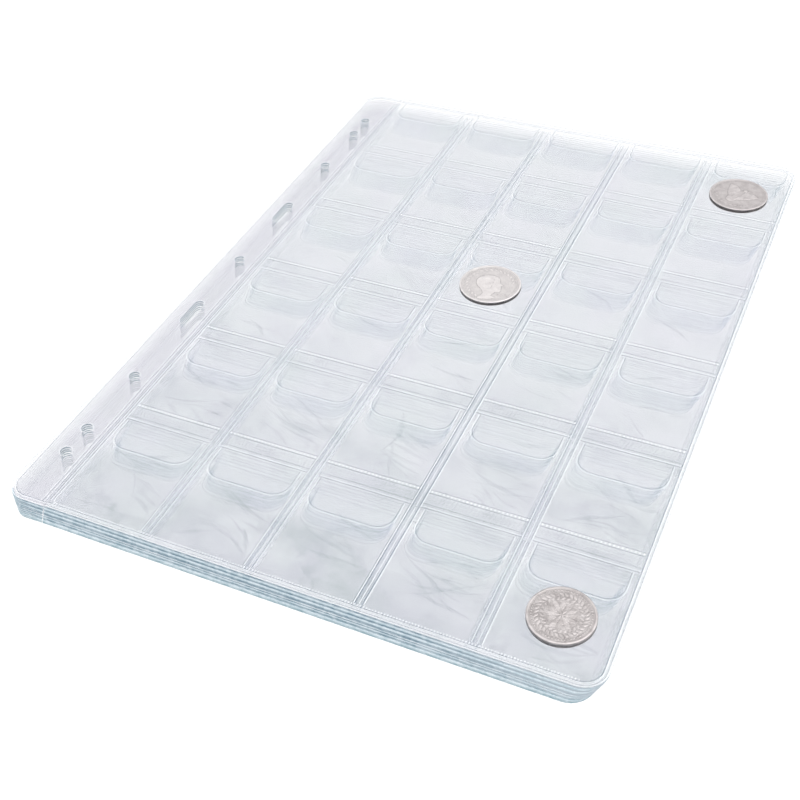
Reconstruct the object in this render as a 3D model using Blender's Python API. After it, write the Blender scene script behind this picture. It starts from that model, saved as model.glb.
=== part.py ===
"""Stack of ten clear soft-vinyl coin pages, with three loose coins lying on the top page.

Every page is a punched binding strip and a leaf of thirty pockets, five across and six down.
The top page is made of its separate films: a back sheet, six pocket rows and thirty flaps.
The nine pages under it are one strip and one leaf each, with the pockets cut as real hollows.
The frame is metres, +Z up, origin at the middle of the stack's foot on the table.
X runs from the binding edge to the open edge and Y from the foot of the page to its head.
"""
import math

import bmesh
import bpy

MM = 0.001

# Page outline
PAGE_WIDTH = 208.0
PAGE_LENGTH = 290.0
CORNER_RADIUS = 8.0
STRIP_WIDTH = 17.5
HEAD_HEM = 4.0
FOOT_HEM = 3.0
SIDE_HEM = 2.0
SEAM_GAP = 0.3

# Pocket grid
COLUMNS = 5
ROWS = 6
COLUMN_PITCH = 38.0
ROW_PITCH = 48.1
WELD_WIDTH = 3.3
BAND_HEIGHT = 8.0
MOUTH_HEIGHT = 1.2

# Flaps
FLAP_WIDTH = 31.8
FLAP_DROP = 14.2
FLAP_RADIUS = 6.5

# Ring holes, measured from the middle of the page's length
HOLE_WIDTH = 6.5
ROUND_HOLE_OFFSETS = (0.0, 78.0, 108.0, 120.5)
SLOT_OFFSET = 37.4
SLOT_LENGTH = 14.5

# Heights
PAGES = 10
PAGE_PITCH = 1.0
LEAF_THICKNESS = 0.7
LEAF_WALL = 0.2
FILM = 0.22
CLEARANCE = 0.3

# Coins: name, centre across the grid and down from the head line, diameter, thickness
COINS = (
    ("coin_small_foot", 171.8, 265.6, 21.2, 1.95),
    ("coin_large_middle", 94.6, 122.9, 24.3, 1.75),
    ("coin_large_head", 170.2, 26.7, 24.3, 1.75),
)
COIN_RIM = 1.1
COIN_FIELD_DEPTH = 0.12
COIN_BEVEL = 0.18
COIN_SEGMENTS = 32

LEFT = -PAGE_WIDTH / 2
RIGHT = PAGE_WIDTH / 2
HEAD = PAGE_LENGTH / 2
FOOT = -PAGE_LENGTH / 2
GRID_LEFT = LEFT + STRIP_WIDTH
GRID_HEAD = HEAD - HEAD_HEM
FOOT_WELD = FOOT + FOOT_HEM
LEAF_LEFT = GRID_LEFT + SEAM_GAP / 2
STRIP_RIGHT = GRID_LEFT - SEAM_GAP / 2

TOP_BASE = (PAGES - 1) * PAGE_PITCH
RIB_BASE = TOP_BASE + FILM + CLEARANCE
POCKET_BASE = RIB_BASE + CLEARANCE
POCKET_TOP = POCKET_BASE + FILM
FLAP_BASE = POCKET_TOP + CLEARANCE
FLAP_TOP = FLAP_BASE + FILM
BEYOND = 1.0


def row_line(row):
    """Y of the line that a row's flaps hang from."""
    return GRID_HEAD - ROW_PITCH * row


def pocket_foot(row):
    """Y of the weld that closes the foot of a row's pockets."""
    if row == ROWS - 1:
        return FOOT_WELD
    return row_line(row + 1) + BAND_HEIGHT


def pocket_sides(column):
    """X of the two sides of a pocket, inside the welds."""
    left = GRID_LEFT + COLUMN_PITCH * column + WELD_WIDTH / 2
    right = GRID_LEFT + COLUMN_PITCH * (column + 1) - WELD_WIDTH / 2
    return left, min(right, RIGHT - SIDE_HEM)


def arc(cx, cy, radius, start, end, steps):
    """Points along an arc, angles in degrees."""
    points = []
    for step in range(steps + 1):
        angle = math.radians(start + (end - start) * step / steps)
        points.append((cx + radius * math.cos(angle), cy + radius * math.sin(angle)))
    return points


def rounded_outline(x0, x1, y0, y1, radii, steps=4):
    """Counter-clockwise rectangle; radii are for the corners x0y0, x1y0, x1y1 and x0y1."""
    corners = (
        (x0, y0, 1, 1, 180),
        (x1, y0, -1, 1, 270),
        (x1, y1, -1, -1, 0),
        (x0, y1, 1, -1, 90),
    )
    points = []
    for (x, y, sx, sy, start), radius in zip(corners, radii):
        if radius:
            points += arc(x + sx * radius, y + sy * radius, radius, start, start + 90, steps)
        else:
            points.append((x, y))
    return points


def round_ended_outline(cx, cy, width, length, steps=5):
    """A slot along Y with half-round ends, or a circle where length equals width."""
    reach = (length - width) / 2
    upper = arc(cx, cy + reach, width / 2, 0, 180, steps)
    lower = arc(cx, cy - reach, width / 2, 180, 360, steps)
    if reach == 0:
        return upper[:-1] + lower[:-1]
    return upper + lower


def add_prism(bm, outline, z0, z1):
    """Adds a closed upright prism over a counter-clockwise outline."""
    low = [bm.verts.new((x * MM, y * MM, z0 * MM)) for x, y in outline]
    high = [bm.verts.new((x * MM, y * MM, z1 * MM)) for x, y in outline]
    bm.faces.new(list(reversed(low)))
    bm.faces.new(high)
    for i in range(len(outline)):
        k = (i + 1) % len(outline)
        bm.faces.new((low[i], low[k], high[k], high[i]))


def add_bar(bm, profile, x0, x1):
    """Adds a closed bar along X; profile holds (y, z) points, counter-clockwise seen from +X."""
    near = [bm.verts.new((x0 * MM, y * MM, z * MM)) for y, z in profile]
    far = [bm.verts.new((x1 * MM, y * MM, z * MM)) for y, z in profile]
    bm.faces.new(list(reversed(near)))
    bm.faces.new(far)
    for i in range(len(profile)):
        k = (i + 1) % len(profile)
        bm.faces.new((near[i], near[k], far[k], far[i]))


def add_box(bm, x0, x1, y0, y1, z0, z1):
    add_bar(bm, ((y0, z0), (y1, z0), (y1, z1), (y0, z1)), x0, x1)


def finish_mesh(bm, name):
    """Writes the working mesh to new mesh data."""
    mesh = bpy.data.meshes.new(name)
    bm.to_mesh(mesh)
    bm.free()
    return mesh


def combine(body, tool, operation, name):
    """Returns a new mesh: body with tool taken away from it or intersected with it."""
    body_object = bpy.data.objects.new("body", body)
    tool_object = bpy.data.objects.new("tool", tool)
    for item in (body_object, tool_object):
        bpy.context.scene.collection.objects.link(item)
    modifier = body_object.modifiers.new("combine", "BOOLEAN")
    modifier.operation = operation
    modifier.solver = "EXACT"
    modifier.object = tool_object
    bpy.context.view_layer.update()
    evaluated = body_object.evaluated_get(bpy.context.evaluated_depsgraph_get())
    mesh = bpy.data.meshes.new_from_object(evaluated)
    mesh.name = name
    bpy.data.objects.remove(body_object)
    bpy.data.objects.remove(tool_object)
    return mesh


def material(name, colour, roughness, metallic, alpha=1.0):
    made = bpy.data.materials.new(name)
    made.use_nodes = True
    shader = made.node_tree.nodes["Principled BSDF"]
    shader.inputs["Base Color"].default_value = (*colour, 1.0)
    shader.inputs["Roughness"].default_value = roughness
    shader.inputs["Metallic"].default_value = metallic
    shader.inputs["Alpha"].default_value = alpha
    made.diffuse_color = (*colour, 1.0)
    return made


def add_empty(name, x, y, z, parent=None):
    empty = bpy.data.objects.new(name, None)
    bpy.context.scene.collection.objects.link(empty)
    empty.parent = parent
    px, py, pz = origin_of(parent)
    empty.location = ((x - px) * MM, (y - py) * MM, (z - pz) * MM)
    empty["origin_mm"] = (x, y, z)
    return empty


def origin_of(item):
    """World position of an empty or a part in millimetres at rest."""
    return tuple(item["origin_mm"]) if item else (0.0, 0.0, 0.0)


def add_part(name, mesh, surface, x, y, z, parent):
    """Places a part whose mesh is drawn about its own origin at x, y, z."""
    part = bpy.data.objects.new(name, mesh)
    bpy.context.scene.collection.objects.link(part)
    part.parent = parent
    px, py, pz = origin_of(parent)
    part.location = ((x - px) * MM, (y - py) * MM, (z - pz) * MM)
    if not mesh.materials:
        mesh.materials.append(surface)
    return part


def binding_strip_mesh():
    """Strip with a line of ring holes; its foot face is at z = 0."""
    bm = bmesh.new()
    outline = rounded_outline(
        LEFT, STRIP_RIGHT, FOOT, HEAD, (CORNER_RADIUS, 0, 0, CORNER_RADIUS)
    )
    add_prism(bm, outline, 0, LEAF_THICKNESS)
    body = finish_mesh(bm, "strip_body")
    centre = (LEFT + GRID_LEFT) / 2
    offsets = sorted({sign * offset for offset in ROUND_HOLE_OFFSETS for sign in (-1, 1)})
    bm = bmesh.new()
    for offset in offsets:
        hole = round_ended_outline(centre, offset, HOLE_WIDTH, HOLE_WIDTH)
        add_prism(bm, hole, -BEYOND, LEAF_THICKNESS + BEYOND)
    for offset in (-SLOT_OFFSET, SLOT_OFFSET):
        slot = round_ended_outline(centre, offset, HOLE_WIDTH, SLOT_LENGTH)
        add_prism(bm, slot, -BEYOND, LEAF_THICKNESS + BEYOND)
    punches = finish_mesh(bm, "strip_punches")
    return combine(body, punches, "DIFFERENCE", "binding_strip")


def leaf_outline():
    """The leaf without its binding strip, rounded at the open edge."""
    return rounded_outline(
        LEAF_LEFT, RIGHT, FOOT, HEAD, (0, CORNER_RADIUS, CORNER_RADIUS, 0)
    )


def pocket_leaf_mesh():
    """Two films welded round thirty pockets, each open at a mouth slit; foot face at z = 0."""
    bm = bmesh.new()
    add_prism(bm, leaf_outline(), 0, LEAF_THICKNESS)
    body = finish_mesh(bm, "leaf_body")
    floor = LEAF_WALL
    roof = LEAF_THICKNESS - LEAF_WALL
    above = LEAF_THICKNESS + BEYOND
    bm = bmesh.new()
    for row in range(ROWS):
        head = row_line(row)
        foot = pocket_foot(row)
        lip = head - MOUTH_HEIGHT
        profile = (
            (foot, floor), (head, floor), (head, above), (lip, above), (lip, roof), (foot, roof)
        )
        for column in range(COLUMNS):
            add_bar(bm, profile, *pocket_sides(column))
    hollows = finish_mesh(bm, "leaf_hollows")
    return combine(body, hollows, "DIFFERENCE", "pocket_leaf")


def back_sheet_mesh():
    """Back film of the top page, with the raised hem that the first row of flaps hangs from."""
    hem_foot = GRID_HEAD + SEAM_GAP
    profile = (
        (FOOT - BEYOND, TOP_BASE),
        (HEAD + BEYOND, TOP_BASE),
        (HEAD + BEYOND, FLAP_TOP),
        (hem_foot, FLAP_TOP),
        (hem_foot, TOP_BASE + FILM),
        (FOOT - BEYOND, TOP_BASE + FILM),
    )
    bm = bmesh.new()
    add_bar(bm, profile, LEAF_LEFT - BEYOND, RIGHT + BEYOND)
    body = finish_mesh(bm, "sheet_body")
    bm = bmesh.new()
    add_prism(bm, leaf_outline(), TOP_BASE - BEYOND, FLAP_TOP + BEYOND)
    frame = finish_mesh(bm, "sheet_frame")
    return combine(body, frame, "INTERSECT", "back_sheet")


def pocket_row_mesh(row):
    """Front film of one row: five pockets under it, a raised band along its foot."""
    head = row_line(row) - SEAM_GAP
    foot = FOOT if row == ROWS - 1 else row_line(row + 1) + SEAM_GAP
    corner = CORNER_RADIUS if row == ROWS - 1 else 0
    bm = bmesh.new()
    outline = rounded_outline(LEAF_LEFT, RIGHT, foot, head, (0, corner, 0, 0))
    add_prism(bm, outline, RIB_BASE, FLAP_TOP)
    body = finish_mesh(bm, "row_body")
    band = pocket_foot(row)
    bm = bmesh.new()
    add_box(
        bm, LEAF_LEFT - BEYOND, RIGHT + BEYOND, band, head + BEYOND, POCKET_TOP, FLAP_TOP + BEYOND
    )
    for column in range(COLUMNS):
        x0, x1 = pocket_sides(column)
        add_box(bm, x0, x1, band, head + BEYOND, RIB_BASE - BEYOND, POCKET_BASE)
    cuts = finish_mesh(bm, "row_cuts")
    return combine(body, cuts, "DIFFERENCE", f"pocket_row_{row + 1}")


def flap_mesh():
    """Tongue that hangs from its fold line, drawn about the middle of that line."""
    bm = bmesh.new()
    outline = rounded_outline(
        -FLAP_WIDTH / 2, FLAP_WIDTH / 2, -FLAP_DROP, 0, (FLAP_RADIUS, FLAP_RADIUS, 0, 0)
    )
    add_prism(bm, outline, -FILM, 0)
    return finish_mesh(bm, "flap")


def coin_mesh(name, diameter, thickness):
    """Turned coin: raised rims, sunk fields and bevelled edges, its foot at z = 0."""
    radius = diameter / 2
    rim = radius - COIN_RIM
    profile = (
        (rim, COIN_FIELD_DEPTH),
        (rim + COIN_FIELD_DEPTH, 0),
        (radius - COIN_BEVEL, 0),
        (radius, COIN_BEVEL),
        (radius, thickness - COIN_BEVEL),
        (radius - COIN_BEVEL, thickness),
        (rim + COIN_FIELD_DEPTH, thickness),
        (rim, thickness - COIN_FIELD_DEPTH),
    )
    bm = bmesh.new()
    rings = []
    for r, z in profile:
        ring = []
        for step in range(COIN_SEGMENTS):
            angle = 2 * math.pi * step / COIN_SEGMENTS
            ring.append(
                bm.verts.new((r * math.cos(angle) * MM, r * math.sin(angle) * MM, z * MM))
            )
        rings.append(ring)
    bm.faces.new(list(reversed(rings[0])))
    bm.faces.new(rings[-1])
    for lower, upper in zip(rings, rings[1:]):
        for i in range(COIN_SEGMENTS):
            k = (i + 1) % COIN_SEGMENTS
            bm.faces.new((lower[i], lower[k], upper[k], upper[i]))
    mesh = finish_mesh(bm, name)
    mesh.shade_smooth()
    mesh.set_sharp_from_angle(angle=math.radians(30))
    return mesh


def build():
    strip_surface = material("binding_strip_vinyl", (0.86, 0.89, 0.94), 0.3, 0.0, 0.6)
    sheet_surface = material("back_sheet_vinyl", (0.84, 0.88, 0.93), 0.2, 0.0, 0.45)
    pocket_surface = material("pocket_vinyl", (0.85, 0.89, 0.94), 0.15, 0.0, 0.4)
    flap_surface = material("flap_vinyl", (0.88, 0.91, 0.95), 0.15, 0.0, 0.4)
    leaf_surface = material("leaf_vinyl", (0.85, 0.89, 0.94), 0.2, 0.0, 0.5)
    coin_surface = material("coin_nickel_silver", (0.62, 0.59, 0.55), 0.3, 1.0)

    strip = binding_strip_mesh()
    leaf = pocket_leaf_mesh()
    turn = None
    for page in range(PAGES, 0, -1):
        base = (PAGES - page) * PAGE_PITCH
        hinge = (LEFT, 0.0, max(base - CLEARANCE / 2, 0.0))
        turn = add_empty(f"page_{page:02d}_turn", *hinge, parent=turn)
        add_part(f"page_{page:02d}_binding_strip", strip, strip_surface, 0, 0, base, turn)
        if page > 1:
            add_part(f"page_{page:02d}_pocket_leaf", leaf, leaf_surface, 0, 0, base, turn)

    add_part("page_01_back_sheet", back_sheet_mesh(), sheet_surface, 0, 0, 0, turn)
    for row in range(ROWS):
        name = f"page_01_pocket_row_{row + 1}"
        add_part(name, pocket_row_mesh(row), pocket_surface, 0, 0, 0, turn)

    flap = flap_mesh()
    for row in range(ROWS):
        for column in range(COLUMNS):
            x = GRID_LEFT + COLUMN_PITCH * (column + 0.5)
            name = f"page_01_flap_r{row + 1}_c{column + 1}"
            add_part(name, flap, flap_surface, x, row_line(row), FLAP_TOP, turn)

    for name, across, down, diameter, thickness in COINS:
        mesh = coin_mesh(name, diameter, thickness)
        add_part(name, mesh, coin_surface, GRID_LEFT + across, GRID_HEAD - down, FLAP_BASE, turn)


for item in list(bpy.data.objects):
    bpy.data.objects.remove(item)
build()
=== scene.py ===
"""Looks of the coin album: ten clear soft-vinyl pages in a stack, with three loose coins on top.

Lengths are in millimetres here and become metres when a mesh is made. X runs from the binding
edge to the open edge, Y from the foot of the page to its head, and Z is up from the table.
"""
import math
import random

import bpy
import numpy as np
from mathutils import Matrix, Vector, noise
from mathutils.geometry import delaunay_2d_cdt


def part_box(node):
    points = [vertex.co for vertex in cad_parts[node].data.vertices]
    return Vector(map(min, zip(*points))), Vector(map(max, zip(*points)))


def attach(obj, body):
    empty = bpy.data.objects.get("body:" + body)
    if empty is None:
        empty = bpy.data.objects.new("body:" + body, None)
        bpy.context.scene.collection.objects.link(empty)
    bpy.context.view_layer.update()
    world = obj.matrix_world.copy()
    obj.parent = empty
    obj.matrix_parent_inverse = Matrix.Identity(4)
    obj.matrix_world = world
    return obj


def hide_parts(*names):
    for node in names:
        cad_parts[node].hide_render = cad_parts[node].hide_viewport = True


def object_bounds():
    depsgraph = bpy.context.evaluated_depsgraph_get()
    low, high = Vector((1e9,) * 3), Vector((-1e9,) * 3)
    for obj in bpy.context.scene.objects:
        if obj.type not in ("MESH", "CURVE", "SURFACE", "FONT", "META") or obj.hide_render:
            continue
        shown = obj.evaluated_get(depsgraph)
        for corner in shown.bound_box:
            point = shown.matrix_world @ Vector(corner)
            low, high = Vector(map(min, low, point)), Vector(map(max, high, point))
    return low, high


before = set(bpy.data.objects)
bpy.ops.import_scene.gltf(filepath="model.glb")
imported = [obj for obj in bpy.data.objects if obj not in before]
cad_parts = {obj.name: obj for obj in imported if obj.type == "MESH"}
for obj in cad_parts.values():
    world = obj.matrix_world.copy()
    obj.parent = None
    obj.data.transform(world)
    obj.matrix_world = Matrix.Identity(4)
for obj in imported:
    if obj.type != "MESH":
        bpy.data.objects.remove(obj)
cad_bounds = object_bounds()

MM = 0.001
PAGES = 10
ROWS = 6
COLUMNS = 5

# Material numbers inside a vinyl piece, in the order of BASE_SET
FILM, TINT, BRIGHT, DARK, EDGE, TONGUE, HEM = range(7)
PALE_EDGE, STREAK, SHADE, STITCH, HOLE, BACK_EDGE = range(7, 13)


def box_mm(node):
    low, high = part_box(node)
    return np.array(low) / MM, np.array(high) / MM


page_low, page_high = (np.array(corner) / MM for corner in cad_bounds)
LEFT, FOOT = page_low[0], page_low[1]
RIGHT, HEAD = page_high[0], page_high[1]
CORNER = 8.0

strip_high = box_mm("page_01_binding_strip")[1]
sheet_low = box_mm("page_01_back_sheet")[0]
STRIP_RIGHT = strip_high[0]
LEAF_LEFT = sheet_low[0]
GRID_LEFT = (STRIP_RIGHT + LEAF_LEFT) / 2

FLAPS = {
    (row, column): box_mm(f"page_01_flap_r{row + 1}_c{column + 1}")
    for row in range(ROWS)
    for column in range(COLUMNS)
}
PITCH = FLAPS[0, 1][0][0] - FLAPS[0, 0][0][0]
ROW_LINES = [FLAPS[row, 0][1][1] for row in range(ROWS)]
FLAP_WIDTH = FLAPS[0, 0][1][0] - FLAPS[0, 0][0][0]
FLAP_DROP = FLAPS[0, 0][1][1] - FLAPS[0, 0][0][1]
FLAP_RADIUS = 6.5
BAND = 8.0  # from a row line up to the foot of the pockets above it
WELD = 3.3  # width of the weld between two columns
WELDS = [GRID_LEFT + PITCH * i for i in range(COLUMNS)]
OPEN_WELD = RIGHT - 2.0
FOOT_WELD = FOOT + 3.0
HEAD_WELD = HEAD - 6.0
HOLE_X = (LEFT + GRID_LEFT) / 2
HOLE_RADIUS = 2.0
ROUND_HOLES = (0.0, 78.0, -78.0, 108.0, -108.0, 120.5, -120.5)
SLOT_HOLES = (37.4, -37.4)
SLOT_LENGTH = 14.5
LEAN = 0.42  # how far each page lies from the one above it

# Heights above the underside of a lower page
FILM_LOW = 0.02
LEAF_TOP = 0.62
STRIP_TOP = 0.63
RIDGES = 0.64
FOOT_HEM = 0.65

# Heights of the top page's front, above the table
FRONT_LOW = 9.74
FRONT_TOP = 9.90
FRONT_RIDGES = 9.96
LIP_LOW = 10.0
LIP_TOP = 10.35

# Spacing of points, sway of long lines, and steps in an arc
LINE_GAP = 7.0
LINE_SWAY = 0.07
LEAF_GAP = 2.6
STRIP_GAP = 3.5
ROW_GAP = 1.3
CORNER_STEPS = 8
BORDER_STEPS = 10
HOLE_STEPS = 20

# In these tables BRIGHT lines are painted highlights and DARK lines painted shade
# Welded lines: distance in from the outline, or across from the binding weld; width; kind
HEM_LINES = ((0.3, 0.34, BRIGHT), (1.5, 0.3, BRIGHT), (1.95, 0.22, DARK))
LEAF_HEM_LINES = (*HEM_LINES, (0.8, 0.22, DARK))
LEAF_SIDE_LINES = ((0.4, 0.2, DARK), (0.85, 0.26, BRIGHT), (1.3, 0.2, DARK), (1.9, 0.26, BRIGHT))
STRIP_SIDE_LINES = (
    (-2.4, 0.26, BRIGHT), (-1.95, 0.2, DARK), (-1.2, 0.26, BRIGHT), (-0.75, 0.2, DARK)
)
WELD_LINES = (
    (-WELD / 2 - 0.3, 0.2, DARK),
    (-WELD / 2, 0.28, BRIGHT),
    (-WELD / 2 + 0.45, 0.2, DARK),
    (0.15, 0.24, BRIGHT),
    (WELD / 2 - 0.45, 0.2, DARK),
    (WELD / 2, 0.28, BRIGHT),
)
FOLD_LINES = ((7.45, 0.26, DARK), (6.9, 0.3, BRIGHT), (5.7, 0.2, DARK))  # below a row's pockets

# Creases and folds get stronger towards the foot of the page
ROW_CREASE = (0.15, 0.2, 0.3, 0.45, 0.7, 0.9)
ROW_FOLDS = (0, 0, 1, 2, 5, 6)
LOWER_FOLDS = (0, 0, 0, 1, 2, 2)


# ---------------------------------------------------------------- mesh building


def smooth_step(t):
    t = np.clip(t, 0.0, 1.0)
    return t * t * (3 - 2 * t)


def lean(points, page):
    """Lower pages lie a little nearer the binding edge, as a loose stack settles."""
    held, drift = 22.0, 0.22
    across = smooth_step((points[:, 0] - LEFT) / held)
    points[:, 0] -= LEAN * (page - 1) * across
    points[:, 1] += drift * math.sin(page * 2.6) * across
    return points


class Build:
    """Collects the closed shells of one piece."""

    def __init__(self, page=1):
        self.page = page
        self.points, self.faces, self.materials, self.creases = [], [], [], []

    def add(self, points, faces, material, crease=None):
        start = len(self.points)
        self.points.extend(points)
        self.creases.extend(crease if crease is not None else [0.0] * len(points))
        self.faces.extend([[start + i for i in face] for face in faces])
        if isinstance(material, int):
            material = [material] * len(faces)
        self.materials.extend(material)

    def object(self, name, surfaces, smooth_angle=40):
        mesh = bpy.data.meshes.new(name)
        points = lean(np.array(self.points, float), self.page) * MM
        mesh.from_pydata(points.tolist(), [], self.faces)
        for surface in surfaces:
            mesh.materials.append(surface)
        mesh.polygons.foreach_set("material_index", self.materials)
        crease = mesh.attributes.new("crease", "FLOAT", "POINT")
        crease.data.foreach_set("value", np.array(self.creases, np.float32))
        mesh.update()
        mesh.shade_smooth()
        mesh.set_sharp_from_angle(angle=math.radians(smooth_angle))
        piece = bpy.data.objects.new(name, mesh)
        bpy.context.scene.collection.objects.link(piece)
        return piece


def arc(cx, cy, radius, start, end, steps):
    return [
        (cx + radius * math.cos(math.radians(a)), cy + radius * math.sin(math.radians(a)))
        for a in np.linspace(start, end, steps + 1)
    ]


def spread(points, gap):
    """Adds points along a closed outline so that none are further apart than gap."""
    made = []
    for (x0, y0), (x1, y1) in zip(points, points[1:] + points[:1]):
        parts = max(1, math.ceil(math.hypot(x1 - x0, y1 - y0) / gap))
        made += [(x0 + (x1 - x0) * i / parts, y0 + (y1 - y0) * i / parts) for i in range(parts)]
    return made


def triangulate(outline, holes, gap, gap_y=None):
    """Triangles over an outline, with inner points about gap apart."""
    gap_y = gap_y or gap
    stagger = 0.3
    loops = [outline, *holes]
    flat = [Vector(p) for loop in loops for p in loop]
    edges, start = [], 0
    for loop in loops:
        edges += [(start + i, start + (i + 1) % len(loop)) for i in range(len(loop))]
        start += len(loop)
    boundary = np.array([tuple(p) for p in flat])
    low, high = boundary.min(0), boundary.max(0)
    columns = max(1, round((high[0] - low[0]) / gap))
    rows = max(1, round((high[1] - low[1]) / gap_y))
    grid = [
        (
            low[0] + (high[0] - low[0]) * (i + stagger * (j % 2)) / columns,
            low[1] + (high[1] - low[1]) * j / rows,
        )
        for j in range(1, rows)
        for i in range(1, columns)
    ]
    for x, y in grid:
        if not inside(outline, x, y) or any(inside(hole, x, y) for hole in holes):
            continue
        if ((boundary - (x, y)) ** 2).sum(1).min() > (0.4 * min(gap, gap_y)) ** 2:
            flat.append(Vector((x, y)))
    points, _, faces, _, _, _ = delaunay_2d_cdt(flat, edges, [], 1, 1e-6)
    kept = []
    for face in faces:
        cx = sum(points[i].x for i in face) / 3
        cy = sum(points[i].y for i in face) / 3
        if not any(inside(hole, cx, cy) for hole in holes):
            kept.append(list(face))
    for face in kept:
        a, b, c = (points[i] for i in face)
        if (b - a).cross(c - a) < 0:
            face.reverse()
    return np.array([(p.x, p.y) for p in points]), kept


def inside(outline, x, y):
    found = False
    for (x0, y0), (x1, y1) in zip(outline, outline[1:] + outline[:1]):
        if (y0 > y) != (y1 > y) and x < (x1 - x0) * (y - y0) / (y1 - y0) + x0:
            found = not found
    return found


def wall_kind(p, q, film, edge):
    """Cut edges are drawn at the foot, with lighter copies as painted light at the open side and
    the back; seams stay clear.
    """
    if edge != EDGE:
        return edge
    x, y = (p + q) / 2
    out_x, out_y = (q[1] - p[1], p[0] - q[0]) / np.hypot(*(q - p))
    level = abs(p[1] - q[1]) < 1e-3
    row_seam = level and FOOT + 1 < y < HEAD - 1
    if abs(x - GRID_LEFT) < 0.4 or row_seam:
        return film
    if abs(x - HOLE_X) < 3.5 and abs(y) < HEAD - 10:
        return HOLE
    if out_y < -0.35:
        return EDGE
    return PALE_EDGE if out_x > 0.8 else BACK_EDGE


def slab(build, flat, faces, low, high, material, crease=None, edge=EDGE):
    """A closed film over a triangulated outline; low and high are heights at each point."""
    count = len(flat)
    low = np.broadcast_to(low, count)
    high = np.broadcast_to(high, count)
    points = np.vstack([np.column_stack([flat, low]), np.column_stack([flat, high])])
    sides = dict.fromkeys((a, b) for face in faces for a, b in zip(face, face[1:] + face[:1]))
    walls = [[a, b, b + count, a + count] for a, b in sides if (b, a) not in sides]
    bottom = [list(reversed(face)) for face in faces]
    top = [[i + count for i in face] for face in faces]
    numbers = [material] * (len(top) + len(bottom))
    numbers += [wall_kind(flat[a], flat[b], material, edge) for a, b, _, _ in walls]
    value = None if crease is None else list(crease) * 2
    build.add(points.tolist(), bottom + top + walls, numbers, value)


def ribbon(build, path, width, z0, height, material, closed=False):
    """A low welded ridge along a path of (x, y) points, with sloped sides."""
    path = np.array(path, float)
    ahead = np.roll(path, -1, 0) - path
    behind = path - np.roll(path, 1, 0)
    if not closed:
        ahead[-1], behind[0] = behind[-1], ahead[0]
    ahead /= np.linalg.norm(ahead, axis=1)[:, None]
    behind /= np.linalg.norm(behind, axis=1)[:, None]
    along = ahead + behind
    along /= np.linalg.norm(along, axis=1)[:, None]
    side = np.column_stack([-along[:, 1], along[:, 0]])
    side /= np.maximum((side * np.column_stack([-ahead[:, 1], ahead[:, 0]])).sum(1), 0.5)[:, None]
    z0 = np.broadcast_to(z0, len(path))
    width = np.broadcast_to(width, len(path))[:, None]
    profile = ((-0.5, 0.0), (0.5, 0.0), (0.26, 1.0), (-0.26, 1.0))
    points = [
        np.column_stack([path + side * across * width, z0 + up * height]) for across, up in profile
    ]
    count = len(path)
    faces = []
    last = count if closed else count - 1
    for k in range(4):
        j = (k + 1) % 4
        for i in range(last):
            n = (i + 1) % count
            faces.append([k * count + i, k * count + n, j * count + n, j * count + i])
    if not closed:
        faces.append([k * count for k in range(4)])
        faces.append([k * count + count - 1 for k in reversed(range(4))])
    faces = [list(reversed(face)) for face in faces]
    build.add(np.vstack(points).tolist(), faces, material)


def line(x0, y0, x1, y1, seed=0.0):
    """A nearly straight path, as soft film never lies quite true."""
    length = math.hypot(x1 - x0, y1 - y0)
    parts = max(1, round(length / LINE_GAP))
    side = (-(y1 - y0) / length, (x1 - x0) / length)
    made = []
    for i in range(parts + 1):
        t = i / parts
        x, y = x0 + (x1 - x0) * t, y0 + (y1 - y0) * t
        off = LINE_SWAY * noise.noise(Vector((x * 0.06, y * 0.06, seed + 3.1)))
        made.append((x + side[0] * off, y + side[1] * off))
    return made


def knurls(build, x0, y0, x1, y1, pitch, bar, tilt, z0, height, material):
    """A row of small pressed bars along a line; bar is (length across, width), tilt in degrees."""
    shrink = 0.55
    half, wide = bar[0] / 2, bar[1] / 2
    length = math.hypot(x1 - x0, y1 - y0)
    ux, uy = (x1 - x0) / length, (y1 - y0) / length
    angle = math.radians(tilt)
    px = -uy * math.cos(angle) + ux * math.sin(angle)
    py = ux * math.cos(angle) + uy * math.sin(angle)
    count = max(1, int(length / pitch))
    for i in range(count):
        t = (i + 0.5) * length / count
        cx, cy = x0 + ux * t, y0 + uy * t
        corners = [
            (cx + px * half + ux * wide, cy + py * half + uy * wide),
            (cx + px * half - ux * wide, cy + py * half - uy * wide),
            (cx - px * half - ux * wide, cy - py * half - uy * wide),
            (cx - px * half + ux * wide, cy - py * half + uy * wide),
        ]
        low = [(x, y, z0) for x, y in corners]
        high = [(cx + (x - cx) * shrink, cy + (y - cy) * shrink, z0 + height) for x, y in corners]
        build.add(
            low + high,
            [[3, 2, 1, 0], [4, 5, 6, 7], [0, 1, 5, 4], [1, 2, 6, 5], [2, 3, 7, 6], [3, 0, 4, 7]],
            material,
        )


def ripple(x, y, seed):
    """Soft unevenness of a film, about -1 to 1."""
    size = 0.045
    return noise.noise(Vector((x * size, y * size * 1.3, seed))) + 0.4 * noise.noise(
        Vector((x * size * 2.7, y * size * 2.2, seed + 9.0))
    )


def below_flap(y):
    """How free a place is to crease: little behind a flap, fully in the open part of a pocket."""
    least, start, reach = 0.05, 9.0, 8.0
    drop = min((row_line - y for row_line in ROW_LINES if row_line >= y), default=0.0)
    return least + (1 - least) * float(smooth_step((drop - start) / reach))


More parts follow.
